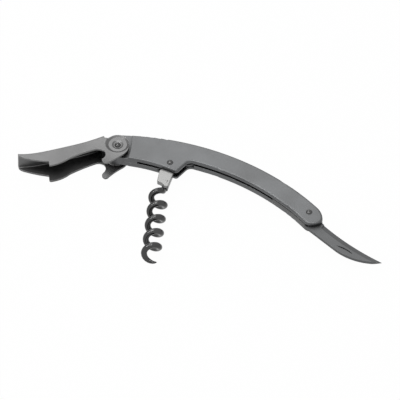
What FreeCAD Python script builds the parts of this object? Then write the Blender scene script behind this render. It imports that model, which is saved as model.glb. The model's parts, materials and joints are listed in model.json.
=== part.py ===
import FreeCAD, Part
import math
import os

# Single-lever waiter's corkscrew, opened out as it lies on its side.
# X runs along the handle to the knife end, Y from belly to spine, Z across the thickness.
# Every outline is drawn about the parting plane of the handle, which is Z = 0 until the last step.

Vector = FreeCAD.Vector
UP = Vector(0, 0, 1)
CENTRE = Vector(0, 0, 0)

# Pivots, in the parting plane
LEVER_PIVOT = (-41.25, 32.7)
WORM_PIVOT = (-15.0, 21.6)
KNIFE_PIVOT = (54.5, -10.8)

# Handle shells
HANDLE_THICKNESS = 7.0
WALL = 1.2
EDGE_ROUND = 1.0
SPINE_RADIUS = 135.0
NOSE_RADIUS = 7.4
KNIFE_END_RADIUS = 5.3
BELLY_RADIUS = 120.0
BELLY_BELOW_KNIFE_PIVOT = 5.55
BELLY_ABOVE_WORM_PIVOT = 3.95
NOSE_THICKNESS = 5.4
NOSE_STEP = 6.75
NOTCH_REACH = 9.5
SEAM_HEIGHT = 1.6
SPRING_BAND = 5.0

# Running clearances
HOLE_CLEARANCE = 0.05
SIDE_CLEARANCE = 0.1
SLOT_CLEARANCE = 0.25
FIXED_CLEARANCE = 0.02

# Lever
LEVER_ANGLE = 196.0
LEVER_SHEET = 1.0
LEVER_LENGTH = 49.8
LEVER_WIDTH = 10.5
LEVER_CORNER = 1.0
CLAW_AT = 36.9
CLAW_DEPTH = 5.7
MOUTH_HEIGHT = 2.4
WAIST_AT = 11.9
WAIST_DEPTH = 1.25
HOOK_AT = 8.2
HOOK_DEPTH = 11.4
EAR_RADIUS = 5.65
EAR_DISH_RADIUS = 2.0
EAR_DISH_DEPTH = 0.5

# Worm
WORM_ANGLE = -95.6
SHANK_THICKNESS = 2.8
SHANK_EYE_RADIUS = 3.4
SHANK_LENGTH = 14.6
SHANK_PLATE_WIDTH = 6.6
SHANK_EDGE_ROUND = 0.3
WIRE_DIAMETER = 3.1
HELIX_DIAMETER = 10.3
HELIX_PITCH = 9.15
HELIX_OFFSET = 3.8
HELIX_START = 15.9
HELIX_TURNS = 4.9
HELIX_TAPER_TURNS = 0.4
POINT_RADIUS = 0.3
STEP_TURNS = 0.25

# Knife
KNIFE_ANGLE = -40.0
ROOT_FACE = -2.2
BLADE_THICKNESS = 1.8
BLADE_LENGTH = 47.0
BLADE_ROOT_DEPTH = 6.8
TANG_RADIUS = 3.0
BEVEL_WIDTH = 2.6
EDGE_THICKNESS = 0.3
NICK_DEPTH = 0.5

# Back spring
SPRING_THICKNESS = 2.1
SPRING_DEPTH = 2.4
SPRING_TAIL_X = 8.0
SPRING_SHOULDER_X = 36.0
SPRING_END_CLEARANCE = 0.12

# Rivets, pins and washers
LEVER_RIVET_RADIUS = 1.0
RIVET_RADIUS = 1.2
RIVET_HEAD_RADIUS = 1.6
RIVET_HEAD_HEIGHT = 1.0
WASHER_THICKNESS = 0.4
WASHER_RADIUS = 2.8
BOSS_RADIUS = 3.2
PIN_RADIUS = 0.8
PIN_BOSS_RADIUS = 1.8

HALF = HANDLE_THICKNESS / 2
FLOOR = HALF - WALL


def spot(pair, z=0.0):
    return Vector(pair[0], pair[1], z)


def beside(pivot, dx, dy):
    return (pivot[0] + dx, pivot[1] + dy)


def outline_edges(start, legs):
    """Edges in a row. A leg of one point is straight; a leg of two is an arc through the first."""
    edges = []
    here = spot(start)
    for leg in legs:
        stop = spot(leg[-1])
        if len(leg) == 2:
            edges.append(Part.Arc(here, spot(leg[0]), stop).toShape())
        else:
            edges.append(Part.LineSegment(here, stop).toShape())
        here = stop
    return edges


def outline(start, legs):
    """A flat face inside a row of edges, which a straight one closes where it is open."""
    last = legs[-1][-1]
    if math.dist(last, start) > 1e-6:
        legs = legs + [(start,)]
    return Part.Face(Part.Wire(outline_edges(start, legs)))


def prism(face, low, high):
    lifted = face.copy()
    lifted.translate(Vector(0, 0, low))
    return lifted.extrude(Vector(0, 0, high - low))


def disc(pivot, radius, low, high):
    return Part.makeCylinder(radius, high - low, spot(pivot, low))


def spun(profile, pivot):
    """A solid of revolution about the Z axis of a pivot, from (radius, height) points."""
    points = [Vector(r, 0, z) for r, z in profile]
    face = Part.Face(Part.makePolygon(points + [points[0]]))
    solid = face.revolve(CENTRE, UP, 360)
    solid.translate(spot(pivot))
    return solid


def placed(shape, angle, pivot):
    shape.rotate(CENTRE, UP, angle)
    shape.translate(spot(pivot))
    return shape


def circle_centre(first, first_distance, second, second_distance):
    """The point below two others that lies at a given distance from each."""
    dx = second[0] - first[0]
    dy = second[1] - first[1]
    span = math.hypot(dx, dy)
    along = (first_distance**2 - second_distance**2 + span**2) / (2 * span)
    aside = math.sqrt(first_distance**2 - along**2)
    return (
        first[0] + (along * dx + aside * dy) / span,
        first[1] + (along * dy - aside * dx) / span,
    )


SPINE_CENTRE = circle_centre(
    LEVER_PIVOT, SPINE_RADIUS - NOSE_RADIUS, KNIFE_PIVOT, SPINE_RADIUS - KNIFE_END_RADIUS
)
BELLY_CENTRE = circle_centre(
    WORM_PIVOT,
    BELLY_RADIUS - BELLY_ABOVE_WORM_PIVOT,
    KNIFE_PIVOT,
    BELLY_RADIUS + BELLY_BELOW_KNIFE_PIVOT,
)


def on_circle(centre, radius, toward):
    """The point of a circle that lies in the direction of another point."""
    dx = toward[0] - centre[0]
    dy = toward[1] - centre[1]
    reach = math.hypot(dx, dy)
    return (centre[0] + radius * dx / reach, centre[1] + radius * dy / reach)


def at_x(centre, radius, x):
    return (x, centre[1] + math.sqrt(radius**2 - (x - centre[0]) ** 2))


def belly(x, depth=0.0):
    return at_x(BELLY_CENTRE, BELLY_RADIUS + depth, x)


def tangent_arc(start, way, stop):
    """An arc from one point to another, tangent to a direction at the first."""
    chord = stop - start
    aside = chord - way * chord.dot(way)
    radius = chord.dot(chord) / (2 * aside.Length)
    centre = start + aside.normalize() * radius
    middle = centre + ((start + stop) * 0.5 - centre).normalize() * radius
    return Part.Arc(start, middle, stop).toShape()


def rounded_corner(body, place, radius):
    """Rounds the upright edge of a prism that stands nearest to a place."""
    upright = [e for e in body.Edges if abs(e.Vertexes[0].Z - e.Vertexes[-1].Z) > 1e-3]
    nearest = min(upright, key=lambda e: math.dist(place, e.Vertexes[0].Point[:2]))
    return body.makeFillet(radius, [nearest])


def handle_block(height):
    """The handle's side outline as a prism: spine, knife end, belly, worm notch, front and nose."""
    spine_front = on_circle(SPINE_CENTRE, SPINE_RADIUS, LEVER_PIVOT)
    spine_back = on_circle(SPINE_CENTRE, SPINE_RADIUS, KNIFE_PIVOT)
    spine_middle = at_x(SPINE_CENTRE, SPINE_RADIUS, (LEVER_PIVOT[0] + KNIFE_PIVOT[0]) / 2)
    edges = [Part.Arc(spot(spine_front), spot(spine_middle), spot(spine_back)).toShape()]
    heel = belly(KNIFE_PIVOT[0] - 2.4)
    knife_end = [beside(KNIFE_PIVOT, *step) for step in ((6.7, -3.4), (4.2, -7.0), (0.5, -7.4))]
    for stop in knife_end + [heel]:
        last = edges[-1]
        end = last.LastParameter
        edges.append(tangent_arc(last.valueAt(end), last.tangentAt(end), spot(stop)))
    notch_top = belly(WORM_PIVOT[0] + NOTCH_REACH)
    notch_tip = beside(WORM_PIVOT, 3.3, -5.8)
    front_low = beside(LEVER_PIVOT, NOSE_STEP, -8.4)
    nose_low = on_circle(LEVER_PIVOT, NOSE_RADIUS, beside(LEVER_PIVOT, 1.2, -5.85))
    underside = outline_edges(
        heel,
        [
            (belly((heel[0] + notch_top[0]) / 2), notch_top),
            (notch_tip,),
            (beside(WORM_PIVOT, -7.0, -0.9), front_low),
            (nose_low,),
            (beside(LEVER_PIVOT, -NOSE_RADIUS, 0), spine_front),
        ],
    )
    block = prism(Part.Face(Part.Wire(edges + underside)), 0, height)
    corners = [(notch_top, 3.0), (notch_tip, 1.7), (nose_low, 3.0)]
    for place, radius in corners:
        block = rounded_corner(block, place, radius)
    return block


def above(radius, start_x, end_x):
    """The side region beyond an arc struck from the centre of the belly."""
    middle = at_x(BELLY_CENTRE, radius, (start_x + end_x) / 2)
    start = at_x(BELLY_CENTRE, radius, start_x)
    end = at_x(BELLY_CENTRE, radius, end_x)
    top = LEVER_PIVOT[1] + 20
    return outline(start, [(middle, end), ((end_x, top),), ((start_x, top),)])


def below(radius, start_x, end_x):
    """The side region short of an arc struck from the centre of the belly."""
    middle = at_x(BELLY_CENTRE, radius, (start_x + end_x) / 2)
    start = at_x(BELLY_CENTRE, radius, start_x)
    end = at_x(BELLY_CENTRE, radius, end_x)
    bottom = KNIFE_PIVOT[1] - 30
    return outline(start, [(middle, end), ((end_x, bottom),), ((start_x, bottom),)])


def sector(pivot, radius, start, end):
    """A pie slice about a pivot, between two directions in degrees."""

    def rim(angle):
        turn = math.radians(angle)
        return beside(pivot, radius * math.cos(turn), radius * math.sin(turn))

    return outline(pivot, [(rim(start),), (rim((start + end) / 2), rim(end))])


# Places of the pins that join the shells
SPRING_PINS = [belly(13.0, 2.5), belly(27.0, 2.5)]
SHELL_PIN = beside(LEVER_PIVOT, 13.5, -1.2)
BLADE_SLOT_START = KNIFE_PIVOT[0] - BLADE_LENGTH + 2.0
BLADE_SLOT = BLADE_THICKNESS / 2 + SLOT_CLEARANCE
SPRING_SLOT = SPRING_THICKNESS / 2 + FIXED_CLEARANCE
WORM_SLOT = SHANK_THICKNESS / 2 + SLOT_CLEARANCE
WORM_BOSS = SHANK_THICKNESS / 2 + SIDE_CLEARANCE + WASHER_THICKNESS
KNIFE_BOSS = BLADE_THICKNESS / 2 + SIDE_CLEARANCE + WASHER_THICKNESS


def half_shell(seam_height):
    """The half of the handle above the parting plane, its belly rim cut back by the seam."""
    block = handle_block(HALF)
    rim = [e for e in block.Edges if min(v.Z for v in e.Vertexes) > HALF - 1e-6]
    body = block.makeFillet(EDGE_ROUND, rim)
    step_x = LEVER_PIVOT[0] + NOSE_STEP
    base = [f for f in block.Faces if f.BoundBox.ZMax < 1e-6][0]
    hollow = prism(base.makeOffset2D(-WALL), -1, FLOOR)
    low_corner = Vector(step_x + WALL - SPINE_RADIUS, KNIFE_PIVOT[1], -HALF)
    hollow = hollow.cut(Part.makeBox(SPINE_RADIUS, SPINE_RADIUS, 3 * HALF, low_corner))
    body = body.cut(hollow)
    body = body.fuse([
        disc(WORM_PIVOT, BOSS_RADIUS, WORM_BOSS, FLOOR + 0.1),
        disc(KNIFE_PIVOT, BOSS_RADIUS, KNIFE_BOSS, FLOOR + 0.1),
        disc(SHELL_PIN, PIN_BOSS_RADIUS, 0, FLOOR + 0.1),
    ] + [disc(place, PIN_BOSS_RADIUS, SPRING_SLOT, FLOOR + 0.1) for place in SPRING_PINS])
    spring_end = KNIFE_PIVOT[0] - 0.5
    seam = prism(below(BELLY_RADIUS + WALL + 1, step_x + 3, spring_end), -1, seam_height)
    spring = prism(below(BELLY_RADIUS + SPRING_BAND, SPRING_SHOULDER_X, spring_end), -1, SPRING_SLOT)
    blade = prism(
        above(BELLY_RADIUS + SPRING_BAND, BLADE_SLOT_START, KNIFE_PIVOT[0]), -1, BLADE_SLOT
    )
    end_corner = Vector(KNIFE_PIVOT[0] + ROOT_FACE, KNIFE_PIVOT[1] - BLADE_LENGTH, -1)
    end_face = Part.makeBox(BLADE_LENGTH, 2 * BLADE_LENGTH, 1 + BLADE_SLOT, end_corner)
    worm = prism(sector(WORM_PIVOT, 12, -172, 8), -1, WORM_SLOT)
    eye = disc(WORM_PIVOT, SHANK_EYE_RADIUS + SLOT_CLEARANCE, -1, WORM_SLOT)
    seats = [
        disc(WORM_PIVOT, WASHER_RADIUS + SLOT_CLEARANCE, -1, WORM_BOSS),
        disc(KNIFE_PIVOT, WASHER_RADIUS + SLOT_CLEARANCE, -1, KNIFE_BOSS),
    ]
    front = step_x - LEVER_LENGTH
    top = LEVER_PIVOT[1] + 2 * NOSE_RADIUS
    nose = outline(
        (front, 0),
        [((step_x - 1.6, 0),), ((step_x - 1.6, LEVER_PIVOT[1] - 8.5),),
         ((step_x - 0.2, LEVER_PIVOT[1] - 2.5), (step_x, top)),
         ((front, top),)],
    )
    recess = prism(nose, NOSE_THICKNESS / 2, HALF + 1)
    return body.cut([seam, spring, blade, end_face, worm, eye, recess] + seats)


def pin_holes():
    """Every hole that the pins and rivets pass through, full thickness."""
    reach = HALF + 1
    holes = [
        disc(LEVER_PIVOT, LEVER_RIVET_RADIUS + FIXED_CLEARANCE, -reach, reach),
        disc(WORM_PIVOT, RIVET_RADIUS + FIXED_CLEARANCE, -reach, reach),
        disc(KNIFE_PIVOT, RIVET_RADIUS + FIXED_CLEARANCE, -reach, reach),
    ]
    for place in SPRING_PINS + [SHELL_PIN]:
        holes.append(disc(place, PIN_RADIUS + FIXED_CLEARANCE, -FLOOR - 0.4, FLOOR + 0.4))
    return holes


def near_shell():
    return half_shell(SEAM_HEIGHT).cut(pin_holes())


def far_shell():
    """The far half, with seats that take the rivet heads below its flat outer face."""
    shell = half_shell(0.0).mirror(CENTRE, UP).cut(pin_holes())
    seat = RIVET_HEAD_RADIUS + 0.5
    depth = RIVET_HEAD_HEIGHT * 0.6
    return shell.cut([
        disc(WORM_PIVOT, seat, -HALF - 1, -HALF + depth),
        disc(KNIFE_PIVOT, seat, -HALF - 1, -HALF + depth),
    ])


def dome(pivot, radius, height, base):
    """A domed head that stands on a flat face, of one radius and height."""
    ball = (radius**2 + height**2) / (2 * height)
    sphere = Part.makeSphere(ball, spot(pivot, base + height - ball))
    return sphere.common(disc(pivot, radius + 1, base, base + height + 1))


def through_rivet(pivot, shaft):
    """A rivet with a domed near head and a low far head that sits in its seat."""
    low = -HALF + RIVET_HEAD_HEIGHT * 0.6
    head = dome(pivot, RIVET_HEAD_RADIUS, RIVET_HEAD_HEIGHT, HALF)
    foot = disc(pivot, RIVET_HEAD_RADIUS, low - RIVET_HEAD_HEIGHT * 0.5, low)
    return disc(pivot, shaft, low, HALF).fuse([head, foot]).removeSplitter()


def lever_rivet():
    seat = NOSE_THICKNESS / 2 + SIDE_CLEARANCE + LEVER_SHEET + HOLE_CLEARANCE
    top = dome(LEVER_PIVOT, RIVET_HEAD_RADIUS, RIVET_HEAD_HEIGHT, seat)
    low = top.mirror(CENTRE, UP)
    return disc(LEVER_PIVOT, LEVER_RIVET_RADIUS, -seat, seat).fuse([top, low]).removeSplitter()


def cross_pin(place):
    return disc(place, PIN_RADIUS, -FLOOR - 0.35, FLOOR + 0.35)


def washer(pivot, inner_face):
    low = inner_face
    ring = disc(pivot, WASHER_RADIUS, low, low + WASHER_THICKNESS)
    return ring.cut(disc(pivot, RIVET_RADIUS + FIXED_CLEARANCE, low - 1, low + 2))


def channel(inset):
    """The pressed channel of the lever as a solid block, drawn in by an inset for its inside."""
    half = LEVER_WIDTH / 2 - inset
    corner = LEVER_CORNER - inset * 0.7
    deep = 14 + inset
    stations = [
        (-8.0, -7.3, 0.1, 0.0),
        (4.3, -7.1, 0.1, 0.02),
        (HOOK_AT, -6.55, 0.1, 0.05),
        (15.0, -5.8, 0.05, 0.13),
        (26.0, -5.5, 0.0, 0.17),
        (CLAW_AT, -5.5, 0.0, 0.125),
        (LEVER_LENGTH + 0.5, -7.7, 0.0, 0.1),
    ]
    rings = []
    for x, top, widen, splay in stations:
        y = top + inset
        w = half + widen
        low = w + splay * (deep - y)
        side = w + splay * corner
        edges = []
        for sign in (1, -1):
            bend = Part.Arc(
                Vector(x, y + corner, sign * side),
                Vector(x, y + corner * 0.293, sign * (w - corner * 0.293)),
                Vector(x, y, sign * (w - corner)),
            ).toShape()
            wall = Part.makeLine(Vector(x, deep, sign * low), Vector(x, y + corner, sign * side))
            edges.append((wall, bend))
        crown = Part.makeLine(Vector(x, y, w - corner), Vector(x, y, corner - w))
        foot = Part.makeLine(Vector(x, deep, -low), Vector(x, deep, low))
        ring = [edges[0][0], edges[0][1], crown, edges[1][1], edges[1][0], foot]
        rings.append(Part.Wire(Part.__sortEdges__(ring)))
    return Part.makeLoft(rings, True, False)


def lever_side():
    """The side outline of the lever about its pivot, web up, hook and claw on the lower edge."""
    ear = EAR_RADIUS
    hook = (HOOK_AT, HOOK_DEPTH)
    waist = (WAIST_AT, WAIST_DEPTH)
    claw = (CLAW_AT, CLAW_DEPTH)
    mouth = (CLAW_AT - 0.4, MOUTH_HEIGHT)
    return outline(
        (5.3, -12),
        [
            ((5.3, -5.4),),
            (on_circle(CENTRE, ear, (3.6, -4.5)),),
            (on_circle(CENTRE, ear, (-3.78, -4.72)), on_circle(CENTRE, ear, (-5.53, 2.31))),
            ((-3.4, 5.9), (-0.49, 7.9)),
            (beside(hook, -3.9, -1.75), hook),
            (beside(hook, 1.5, 0.1), beside(hook, 2.3, -0.9)),
            (beside(hook, 2.6, -2.1), beside(hook, 1.7, -3.2)),
            (beside(waist, -4.1, 4.1), beside(waist, -3.7, 1.75)),
            (beside(waist, -2.3, 0.55), waist),
            (beside(waist, 6.6, 0.75), beside(waist, 14.0, 2.35)),
            (beside(claw, -5.9, -0.4), beside(claw, -0.9, 0.0)),
            (beside(claw, -0.2, -0.2), beside(claw, 0.1, -0.8)),
            (mouth,),
            (beside(mouth, 6.3, -2.9), beside(mouth, 10.7, -5.59)),
            ((LEVER_LENGTH - 1.0, -4.4), (LEVER_LENGTH, -5.8)),
            ((LEVER_LENGTH, -12),),
        ],
    )


def lever():
    """The pressed steel lever: bottle-lip mouth, step, crown-cap hook and dished ears."""
    ring_out = NOSE_THICKNESS / 2 + SIDE_CLEARANCE + LEVER_SHEET
    rise = EAR_DISH_DEPTH
    flat = EAR_RADIUS - 1.05
    outside = spun(
        [(0, ring_out), (EAR_DISH_RADIUS, ring_out), (EAR_DISH_RADIUS + 0.9, ring_out + rise),
         (flat, ring_out + rise), (flat + 9, ring_out + rise + 6.75), (flat + 9, 20), (0, 20)],
        (0, 0),
    )
    floor = ring_out - LEVER_SHEET
    inside = spun(
        [(0, floor), (EAR_DISH_RADIUS + 0.4, floor), (EAR_DISH_RADIUS + 1.3, floor + rise),
         (flat + 0.3, floor + rise), (flat + 9.3, floor + rise + 6.75), (flat + 9.3, 20), (0, 20)],
        (0, 0),
    )
    block = channel(0).common(prism(lever_side(), -12, 12))
    block = block.cut([outside, outside.mirror(CENTRE, UP)])
    core = channel(LEVER_SHEET).cut([inside, inside.mirror(CENTRE, UP)])
    hole = disc((0, 0), LEVER_RIVET_RADIUS + HOLE_CLEARANCE, -10, 10)
    return placed(block.cut([core, hole]), LEVER_ANGLE, LEVER_PIVOT)


def biarc(start, start_way, end, end_way):
    """Two arcs that leave one point and reach another in given directions."""
    chord = end - start
    ways = start_way + end_way
    bend = 2 * (1 - start_way.dot(end_way))
    reach = (math.sqrt(chord.dot(ways) ** 2 + bend * chord.dot(chord)) - chord.dot(ways)) / bend
    joint = (start + end + (start_way - end_way) * reach) * 0.5
    return [tangent_arc(start, start_way, joint), tangent_arc(end, end_way, joint)]


def helix_point(turns):
    """The centre of the wire after some turns, in the worm's own frame, and its direction."""
    full = HELIX_DIAMETER / 2 - WIRE_DIAMETER / 2
    small = WIRE_DIAMETER / 2 + 0.3
    spread = min(turns / 0.5, 1.0)
    radius = small + (full - small) * (1 - math.cos(math.pi * spread)) / 2
    growth = 0.0
    if spread < 1.0:
        growth = (full - small) / 2 * math.sin(math.pi * spread)
    angle = 2 * math.pi * turns - math.pi
    place = Vector(
        HELIX_START + HELIX_PITCH * turns,
        -HELIX_OFFSET - radius * math.cos(angle),
        -radius * math.sin(angle),
    )
    way = Vector(
        HELIX_PITCH / (2 * math.pi),
        -growth * math.cos(angle) + radius * math.sin(angle),
        -growth * math.sin(angle) - radius * math.cos(angle),
    )
    return place, way.normalize()


def least_turn_gap():
    """The least gap between turns of the wire, on points at least half a turn apart."""
    per_turn = 36
    count = int(HELIX_TURNS * per_turn)
    places = [helix_point(i / per_turn)[0] for i in range(count + 1)]
    reaches = [
        a.distanceToPoint(b) for i, a in enumerate(places) for b in places[i + per_turn // 2:]
    ]
    return min(reaches) - WIRE_DIAMETER


def wire_ring(place, way, radius):
    return Part.Wire(Part.Circle(place, way, radius).toShape())


def worm_wire():
    """The open spiral wire: a swept run of quarter-turn biarcs, then a drawn-out point."""
    wire_radius = WIRE_DIAMETER / 2
    start = Vector(SHANK_LENGTH - 4.6, -0.6, 0)
    start_way = Vector(0.98, -0.2, 0).normalize()
    body_turns = HELIX_TURNS - HELIX_TAPER_TURNS
    steps = [STEP_TURNS * i for i in range(int(body_turns / STEP_TURNS) + 1)]
    if body_turns - steps[-1] > 0.02:
        steps.append(body_turns)
    edges = biarc(start, start_way, *helix_point(0))
    for first, second in zip(steps, steps[1:]):
        edges += biarc(*helix_point(first), *helix_point(second))
    path = Part.Wire(Part.__sortEdges__(edges))
    run = path.makePipeShell([wire_ring(start, start_way, wire_radius)], True, False)
    count = 8
    rings = []
    for i in range(count + 1):
        share = i / count
        place, way = helix_point(steps[-1] + HELIX_TAPER_TURNS * share)
        rings.append(wire_ring(place, way, wire_radius + (POINT_RADIUS - wire_radius) * share**1.8))
    point = Part.makeLoft(rings, True, True)
    return run, point


def worm():
    """The worm: a flat forged shank with an eye, drawn into the spiral wire."""
    half = SHANK_THICKNESS / 2
    end = SHANK_LENGTH
    eye = SHANK_EYE_RADIUS
    edge = 1.1
    left = edge - SHANK_PLATE_WIDTH
    bite = (end - 3.7, left)
    foot_left = (end + 0.6, -1.7)
    foot_right = (end + 0.4, 0.2)
    body = outline(
        (0.8, eye - 0.1),
        [
            ((-eye, 0), (0.9, -eye + 0.12)),
            ((2.2, -3.9), (4.4, left + 0.5)),
            (bite,),
            ((end - 2.9, left + 2.1), (end - 1.4, left + 3.6)),
            (foot_left,),
            (foot_right,),
            (beside((end, edge), -4.9, 0.1), (0.8, eye - 0.1)),
        ],
    )
    shank = prism(body, -half, half)
    for place in (bite, foot_left, foot_right):
        shank = rounded_corner(shank, place, 0.7)
    sides = [e for e in shank.Edges if e.Length > 5.0 and e.BoundBox.XMin > 0.5]
    shank = shank.makeFillet(SHANK_EDGE_ROUND, sides)
    run, point = worm_wire()
    solid = shank.fuse([run, point])
    solid = solid.cut(disc((0, 0), RIVET_RADIUS + HOLE_CLEARANCE, -5, 5))
    return placed(solid, WORM_ANGLE, WORM_PIVOT)


def knife_blade():
    """The foil knife: a curved blade, bevelled along its hollow edge, with a nail nick."""
    half = BLADE_THICKNESS / 2
    tip = BLADE_LENGTH
    root = math.radians(-KNIFE_ANGLE)
    stop_x = ROOT_FACE + SPRING_END_CLEARANCE
    drop = -BLADE_ROOT_DEPTH
    heel = (stop_x * math.cos(root) - drop * math.sin(root) * 1.02,
            stop_x * math.sin(root) + drop * math.cos(root) * 1.02)
    throat = (stop_x * math.cos(root) + 1.6 * math.sin(root),
              stop_x * math.sin(root) - 1.6 * math.cos(root))
    edge_start = (8.3, 0.3)
    edge_middle = (0.6 * tip, -1.25)
    blade = prism(
        outline(
            (TANG_RADIUS, TANG_RADIUS * 0.2),
            [
                ((5.6, 0.9), edge_start),
                (edge_middle, (tip, 0)),
                ((tip - 8.4, -5.75), (24.0, -BLADE_ROOT_DEPTH - 1.7)),
                (heel,),
                (throat,),
            ],
        ),
        -half,
        half,
    )
    hollow_edge = Part.Circle(spot(edge_start), spot(edge_middle), spot((tip, 0)))
    centre = hollow_edge.Center
    radius = hollow_edge.Radius
    bevels = []
    for sign in (1, -1):
        wedge = Part.Face(Part.makePolygon([
            Vector(centre.x + radius - 0.5, centre.y, sign * (EDGE_THICKNESS / 2)),
            Vector(centre.x + radius - 0.5, centre.y, sign * 2),
            Vector(centre.x + radius + BEVEL_WIDTH, centre.y, sign * 2),
            Vector(centre.x + radius + BEVEL_WIDTH, centre.y, sign * half),
            Vector(centre.x + radius, centre.y, sign * (EDGE_THICKNESS / 2)),
            Vector(centre.x + radius - 0.5, centre.y, sign * (EDGE_THICKNESS / 2)),
        ]))
        ring = wedge.revolve(centre, UP, 360)
        limit = Part.makeBox(60, 40, 20, Vector(edge_start[0] + 1.5, -20, -10))
        bevels.append(ring.common(limit))
    nick = prism(
        outline((22.8, -6.3), [((28.0, -4.9), (33.0, -5.4)), ((28.0, -5.9), (22.8, -6.3))]),
        half - NICK_DEPTH,
        half + 1,
    )
    tang = disc((0, 0), TANG_RADIUS, -half, half)
    blade = blade.fuse(tang).removeSplitter().cut(bevels + [nick])
    blade = blade.cut(disc((0, 0), RIVET_RADIUS + HOLE_CLEARANCE, -5, 5))
    return placed(blade, KNIFE_ANGLE, KNIFE_PIVOT)


def back_spring():
    """The strip that backs the knife: it hides in the handle and comes flush near the knife."""
    lip = WALL + 0.1
    inner = lip + SPRING_DEPTH
    knife = KNIFE_PIVOT
    gap = TANG_RADIUS + SLOT_CLEARANCE
    end_x = knife[0] + ROOT_FACE
    drop = math.sqrt(gap**2 - ROOT_FACE**2)
    face = outline(
        belly(SPRING_TAIL_X, lip),
        [
            (belly((SPRING_TAIL_X + SPRING_SHOULDER_X) / 2, lip), belly(SPRING_SHOULDER_X, lip)),
            (belly(SPRING_SHOULDER_X + 0.2),),
            (belly(43.0), belly(knife[0] - 4.5)),
            (beside(knife, -3.3, -4.75), beside(knife, ROOT_FACE, -6.1)),
            ((end_x, knife[1] - drop),),
            (beside(knife, -gap * 0.88, -gap * 0.475), beside(knife, -gap, 0)),
            (belly(45.0, SPRING_DEPTH - 0.2), belly(SPRING_SHOULDER_X, inner)),
            (belly((SPRING_TAIL_X + SPRING_SHOULDER_X) / 2, inner), belly(SPRING_TAIL_X, inner)),
        ],
    )
    strip = prism(face, -SPRING_THICKNESS / 2, SPRING_THICKNESS / 2)
    holes = [disc(p, PIN_RADIUS + FIXED_CLEARANCE, -5, 5) for p in SPRING_PINS]
    return strip.cut(holes)


def build():
    """Every piece of the corkscrew by its name, about the parting plane."""
    worm_side = SHANK_THICKNESS / 2 + SIDE_CLEARANCE
    knife_side = BLADE_THICKNESS / 2 + SIDE_CLEARANCE
    pieces = {
        "near_shell": near_shell(),
        "far_shell": far_shell(),
        "lever": lever(),
        "lever_rivet": lever_rivet(),
        "worm": worm(),
        "worm_rivet": through_rivet(WORM_PIVOT, RIVET_RADIUS),
        "worm_washer_near": washer(WORM_PIVOT, worm_side),
        "worm_washer_far": washer(WORM_PIVOT, -worm_side - WASHER_THICKNESS),
        "knife_blade": knife_blade(),
        "knife_rivet": through_rivet(KNIFE_PIVOT, RIVET_RADIUS),
        "knife_washer_near": washer(KNIFE_PIVOT, knife_side),
        "knife_washer_far": washer(KNIFE_PIVOT, -knife_side - WASHER_THICKNESS),
        "back_spring": back_spring(),
        "spring_pin_front": cross_pin(SPRING_PINS[0]),
        "spring_pin_rear": cross_pin(SPRING_PINS[1]),
        "shell_pin": cross_pin(SHELL_PIN),
    }
    return pieces


def resting_shift(pieces):
    """The move that puts the middle of the underside of the whole at the origin."""
    box = FreeCAD.BoundBox()
    for shape in pieces.values():
        box.add(shape.optimalBoundingBox(False, False))
    return Vector(-(box.XMin + box.XMax) / 2, -(box.YMin + box.YMax) / 2, -box.ZMin)


def main():
    os.makedirs("parts", exist_ok=True)
    pieces = build()
    shift = resting_shift(pieces)
    for name, shape in pieces.items():
        shape.translate(shift)
        shape.exportStep("parts/" + name + ".step")
    print("least gap between turns of the worm: %.2f mm" % least_turn_gap())


if __name__ == "__main__":
    main()
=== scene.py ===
import json
import math

import bpy
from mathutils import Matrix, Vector


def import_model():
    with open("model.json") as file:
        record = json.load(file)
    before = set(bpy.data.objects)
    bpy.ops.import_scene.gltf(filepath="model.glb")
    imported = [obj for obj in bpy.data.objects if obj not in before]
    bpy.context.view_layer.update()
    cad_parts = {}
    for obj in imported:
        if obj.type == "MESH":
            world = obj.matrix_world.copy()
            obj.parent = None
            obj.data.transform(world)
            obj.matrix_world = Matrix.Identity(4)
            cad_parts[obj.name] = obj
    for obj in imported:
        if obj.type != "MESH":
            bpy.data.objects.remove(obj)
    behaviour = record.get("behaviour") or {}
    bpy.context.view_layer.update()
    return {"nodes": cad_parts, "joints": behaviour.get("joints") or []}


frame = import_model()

# Places in the object's frame, in metres
PIVOTS = {joint["name"]: Vector(joint["pos_m"]) for joint in frame["joints"]}
VIEW_CENTRE = PIVOTS["lever_fold"] + Vector((0.04125, -0.0327, 0.0))

# Camera: a long lens that looks down on the side of the handle, in metres
VIEW_WIDTH = 0.2
FOCAL_LENGTH = 1.44
SENSOR_WIDTH = 0.036
ELEVATION = math.radians(50.0)
NEAREST = 0.01
FARTHEST = 20.0

# Lamps: name, place from the centre of the view, width and height in metres, power in watts
LAMPS = [
    ("overhead", (-0.15, 0.5, 0.7), 0.5, 0.6, 2.0),
    ("top_strip", (-0.05, -0.14, 0.79), 0.5, 0.05, 1.7),
    ("left_strip", (-0.45, -0.10, 0.65), 0.05, 0.4, 1.3),
]

# Surroundings
WHITE = (1, 1, 1, 1)
ROOM_COLOUR = (0.55, 0.55, 0.55, 1)
ROOM_STRENGTH = 0.6
FLOOR_COLOUR = (0.9, 0.9, 0.9, 1)
FLOOR_HALF_WIDTH = 3.0
FLOOR_DROP = 0.0002
FLOOR_WHITE_SHARE = 0.98

# What every steel finish shares, with lengths in metres. EDGE_TURN is how far a rounded normal
# turns from the true one where wear begins and where it is full. OPEN_SKY is how open a corner
# is where the painted shade is full and where it ends.
CLOUD_SCALE = 60.0
CLOUD_DETAIL = 5.0
CLOUD_RANGE = (0.3, 0.7)
GRAIN_DETAIL = 3.0
GRAIN_HEIGHT = 0.00003
EDGE_TURN = (0.995, 0.88)
EDGE_SAMPLES = 6
WORN_BRIGHTNESS = 2.0
# Painted shade in corners, creases and recesses: its reach, its samples and how dark it gets at
# full
PAINTED_SHADE_REACH = 0.006
PAINTED_SHADE_SAMPLES = 8
PAINTED_SHADE_DEPTH = 0.3
OPEN_SKY = (0.15, 0.75)
SHANK_EDGE_BLUR = 0.0003
SHANK_EXTRA_ROUGHNESS = 0.18

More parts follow.
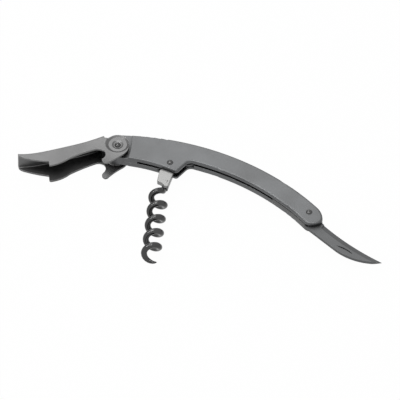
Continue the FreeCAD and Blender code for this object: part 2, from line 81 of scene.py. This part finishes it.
# Sockets of the colour mix node
MIX_SHARE = 0
MIX_FIRST = 6
MIX_SECOND = 7
MIX_RESULT = 2

# Steel finishes: two linear colours that cloud into each other, roughness and its spread, the
# scale and relief of the grain, the width and strength of worn edges, and the reach of painted
# shade in corners.
# A finish with a shank reach is brighter inside that reach about the worm's pivot, a painted sheen
# of the lamp on the flat shank.
FINISHES = {
    "shell_satin": {
        "dark": (0.105, 0.1065, 0.108), "light": (0.13, 0.133, 0.136), "roughness": 0.42,
        "spread": 0.06, "grain": 5000, "relief": 0.35, "edge": 0.0003, "worn": 0.5,
    },
    "lever_satin": {
        "dark": (0.135, 0.135, 0.135), "light": (0.175, 0.175, 0.175), "roughness": 0.42,
        "spread": 0.06, "grain": 4200, "relief": 0.3, "edge": 0.0002, "worn": 0.5,
        # The lever's painted shade reaches further, to darken its dished ear and its channel
        "shade_reach": 0.014,
    },
    "worm_polish": {
        "dark": (0.055, 0.055, 0.055), "light": (0.08, 0.08, 0.08), "roughness": 0.13,
        "spread": 0.03, "grain": 1500, "relief": 0.03, "edge": 0.0003, "worn": 0.3,
        "shank_reach": 0.0137,
    },
    "blade_ground": {
        "dark": (0.10, 0.1015, 0.103), "light": (0.12, 0.1225, 0.125), "roughness": 0.50,
        "spread": 0.05, "grain": 3500, "relief": 0.2, "edge": 0.0001, "worn": 0.5,
    },
    "spring_grey": {
        "dark": (0.09, 0.09, 0.09), "light": (0.12, 0.12, 0.12), "roughness": 0.40,
        "spread": 0.06, "grain": 4000, "relief": 0.3, "edge": 0.0001, "worn": 0.5,
    },
    "rivet_worn": {
        "dark": (0.07, 0.07, 0.07), "light": (0.10, 0.10, 0.10), "roughness": 0.26,
        "spread": 0.06, "grain": 3000, "relief": 0.2, "edge": 0.0002, "worn": 0.5,
    },
}
# Painted sheen: the shank's colour, a brighter copy of the worm's steel that stands in for the
# lamp mirrored in its flat face
SHANK_SHEEN_COLOUR = (0.21, 0.21, 0.20685, 1)
NODE_FINISH = {
    "near_shell": "shell_satin",
    "far_shell": "shell_satin",
    "lever": "lever_satin",
    "worm": "worm_polish",
    "knife_blade": "blade_ground",
    "back_spring": "spring_grey",
}
SMALL_PIECE_FINISH = "rivet_worn"


def add_object(name, data):
    item = bpy.data.objects.new(name, data)
    bpy.context.scene.collection.objects.link(item)
    return item


def facing(direction):
    """The turn that points the back of a camera or lamp in a direction."""
    return Vector(direction).to_track_quat("Z", "Y").to_euler()


def camera():
    back = Vector((0, -math.cos(ELEVATION), math.sin(ELEVATION)))
    data = bpy.data.cameras.new("camera")
    data.lens = FOCAL_LENGTH * 1000
    data.sensor_width = SENSOR_WIDTH * 1000
    data.clip_start = NEAREST
    data.clip_end = FARTHEST
    eye = add_object("camera", data)
    eye.location = VIEW_CENTRE + back * (VIEW_WIDTH * FOCAL_LENGTH / SENSOR_WIDTH)
    eye.rotation_euler = facing(back)
    bpy.context.scene.camera = eye


def lights():
    for name, place, width, height, power in LAMPS:
        data = bpy.data.lights.new(name, "AREA")
        data.shape = "RECTANGLE"
        data.size = width
        data.size_y = height
        data.energy = power
        lamp = add_object(name, data)
        lamp.location = VIEW_CENTRE + Vector(place)
        lamp.rotation_euler = facing(place)


def joined(tree, kind, inputs, **settings):
    """A new node with its settings and inputs, where an input may be a value or another socket."""
    node = tree.nodes.new(kind)
    for name, value in settings.items():
        setattr(node, name, value)
    for name, value in inputs.items():
        if isinstance(value, bpy.types.NodeSocket):
            tree.links.new(value, node.inputs[name])
        else:
            node.inputs[name].default_value = value
    return node


def scaled(tree, value, low, high, to_low=0.0, to_high=1.0):
    """A value moved from one range to another, and kept inside it."""
    inputs = {
        "Value": value, "From Min": low, "From Max": high, "To Min": to_low, "To Max": to_high,
    }
    return joined(tree, "ShaderNodeMapRange", inputs).outputs["Result"]


def blended(tree, kind, share, first, second):
    """Two colours blended. The node's colour sockets share their names, so they go by place."""
    inputs = {MIX_SHARE: share, MIX_FIRST: first, MIX_SECOND: second}
    mix = joined(tree, "ShaderNodeMix", inputs, data_type="RGBA", blend_type=kind)
    return mix.outputs[MIX_RESULT]


def seen_share(tree):
    """One for rays of the camera, a mirror or clear material; zero for the rest."""
    path = tree.nodes.new("ShaderNodeLightPath")
    share = path.outputs["Is Camera Ray"]
    for kind in ("Is Glossy Ray", "Is Transmission Ray"):
        either = {0: share, 1: path.outputs[kind]}
        share = joined(tree, "ShaderNodeMath", either, operation="MAXIMUM").outputs[0]
    return share


def surface(tree, output, share, dull, white):
    """Joins two shaders by a share and makes them the surface."""
    mix = joined(tree, "ShaderNodeMixShader", {"Fac": share, 1: dull, 2: white})
    joined(tree, output, {"Surface": mix.outputs["Shader"]})


def world():
    """A grey room for the light on the object, which is white where it is seen or mirrored."""
    room = bpy.data.worlds.new("studio")
    bpy.context.scene.world = room
    room.use_nodes = True
    tree = room.node_tree
    tree.nodes.clear()
    dim = joined(tree, "ShaderNodeBackground", {"Color": ROOM_COLOUR, "Strength": ROOM_STRENGTH})
    white = joined(tree, "ShaderNodeBackground", {"Color": WHITE, "Strength": 1.0})
    shaders = dim.outputs["Background"], white.outputs["Background"]
    surface(tree, "ShaderNodeOutputWorld", seen_share(tree), *shaders)


def floor():
    """A white floor that keeps the object's shadow."""
    reach = FLOOR_HALF_WIDTH
    corners = [(-reach, -reach, 0), (reach, -reach, 0), (reach, reach, 0), (-reach, reach, 0)]
    mesh = bpy.data.meshes.new("floor")
    mesh.from_pydata(corners, [], [(0, 1, 2, 3)])
    ground = add_object("floor", mesh)
    ground.location.z = -FLOOR_DROP
    material = bpy.data.materials.new("floor_white")
    material.use_nodes = True
    tree = material.node_tree
    tree.nodes.clear()
    glow = joined(tree, "ShaderNodeEmission", {"Strength": 1.0})
    matt = joined(tree, "ShaderNodeBsdfDiffuse", {"Color": FLOOR_COLOUR})
    most = {0: seen_share(tree), 1: FLOOR_WHITE_SHARE}
    share = joined(tree, "ShaderNodeMath", most, operation="MULTIPLY").outputs[0]
    shaders = matt.outputs["BSDF"], glow.outputs["Emission"]
    surface(tree, "ShaderNodeOutputMaterial", share, *shaders)
    mesh.materials.append(material)


def shank_sheen_and_gloss(tree, place, reach, colour, rough):
    """Colour and roughness of steel near the worm's pivot, whose brighter colour is a painted
    sheen of the lamp on the flat shank.
    """
    gap = joined(tree, "ShaderNodeVectorMath", {0: place, 1: PIVOTS["worm_fold"]},
                 operation="DISTANCE")
    ground = scaled(tree, gap.outputs["Value"], reach + SHANK_EDGE_BLUR, reach - SHANK_EDGE_BLUR)
    # Painted sheen: inside the reach the colour turns to the brighter shank colour
    colour = blended(tree, "MIX", ground, colour, SHANK_SHEEN_COLOUR)
    rougher = {0: ground, 1: SHANK_EXTRA_ROUGHNESS, 2: rough}
    rough = joined(tree, "ShaderNodeMath", rougher, operation="MULTIPLY_ADD").outputs[0]
    return colour, rough


def steel(name, dark, light, roughness, spread, grain, relief, edge, worn, shade_reach=PAINTED_SHADE_REACH,
          shank_reach=None):
    """Worked steel: clouded colour, fine grain, painted shade in corners and wear along its edges.
    """
    material = bpy.data.materials.new(name)
    material.use_nodes = True
    tree = material.node_tree
    place = tree.nodes.new("ShaderNodeTexCoord").outputs["Object"]
    cloud_inputs = {"Vector": place, "Scale": CLOUD_SCALE, "Detail": CLOUD_DETAIL}
    grain_inputs = {"Vector": place, "Scale": grain, "Detail": GRAIN_DETAIL}
    cloud = joined(tree, "ShaderNodeTexNoise", cloud_inputs).outputs["Fac"]
    fine = joined(tree, "ShaderNodeTexNoise", grain_inputs).outputs["Fac"]
    colour = blended(tree, "MIX", scaled(tree, cloud, *CLOUD_RANGE), (*dark, 1), (*light, 1))
    rough = scaled(tree, fine, 0.0, 1.0, roughness - spread, roughness + spread)
    if shank_reach:
        colour, rough = shank_sheen_and_gloss(tree, place, shank_reach, colour, rough)

    bevel = joined(tree, "ShaderNodeBevel", {"Radius": edge}, samples=EDGE_SAMPLES)
    rounded = bevel.outputs["Normal"]
    true_normal = tree.nodes.new("ShaderNodeNewGeometry").outputs["Normal"]
    turn = joined(tree, "ShaderNodeVectorMath", {0: rounded, 1: true_normal},
                  operation="DOT_PRODUCT")
    rub = scaled(tree, turn.outputs["Value"], *EDGE_TURN, 0.0, worn)
    bare = [level * WORN_BRIGHTNESS for level in light]
    colour = blended(tree, "MIX", rub, colour, (*bare, 1))

    # Painted shade: ambient occlusion darkens the colour in corners, creases, recesses and round
    # the rivet heads
    sky = joined(tree, "ShaderNodeAmbientOcclusion", {"Distance": shade_reach}, samples=PAINTED_SHADE_SAMPLES)
    painted_shade = scaled(tree, sky.outputs["AO"], *OPEN_SKY, PAINTED_SHADE_DEPTH, 1.0)
    colour = blended(tree, "MULTIPLY", 1.0, colour, painted_shade)

    grit = {"Strength": relief, "Distance": GRAIN_HEIGHT, "Height": fine, "Normal": rounded}
    bump = joined(tree, "ShaderNodeBump", grit)
    shader = tree.nodes["Principled BSDF"]
    shader.inputs["Metallic"].default_value = 1.0
    tree.links.new(colour, shader.inputs["Base Color"])
    tree.links.new(rough, shader.inputs["Roughness"])
    tree.links.new(bump.outputs["Normal"], shader.inputs["Normal"])
    return material


def dress():
    """Gives every solid its finish."""
    materials = {name: steel(name, **values) for name, values in FINISHES.items()}
    for name, node in frame["nodes"].items():
        node.data.materials.clear()
        node.data.materials.append(materials[NODE_FINISH.get(name, SMALL_PIECE_FINISH)])


camera()
lights()
world()
floor()
dress()
bpy.context.scene.view_settings.view_transform = "Standard"
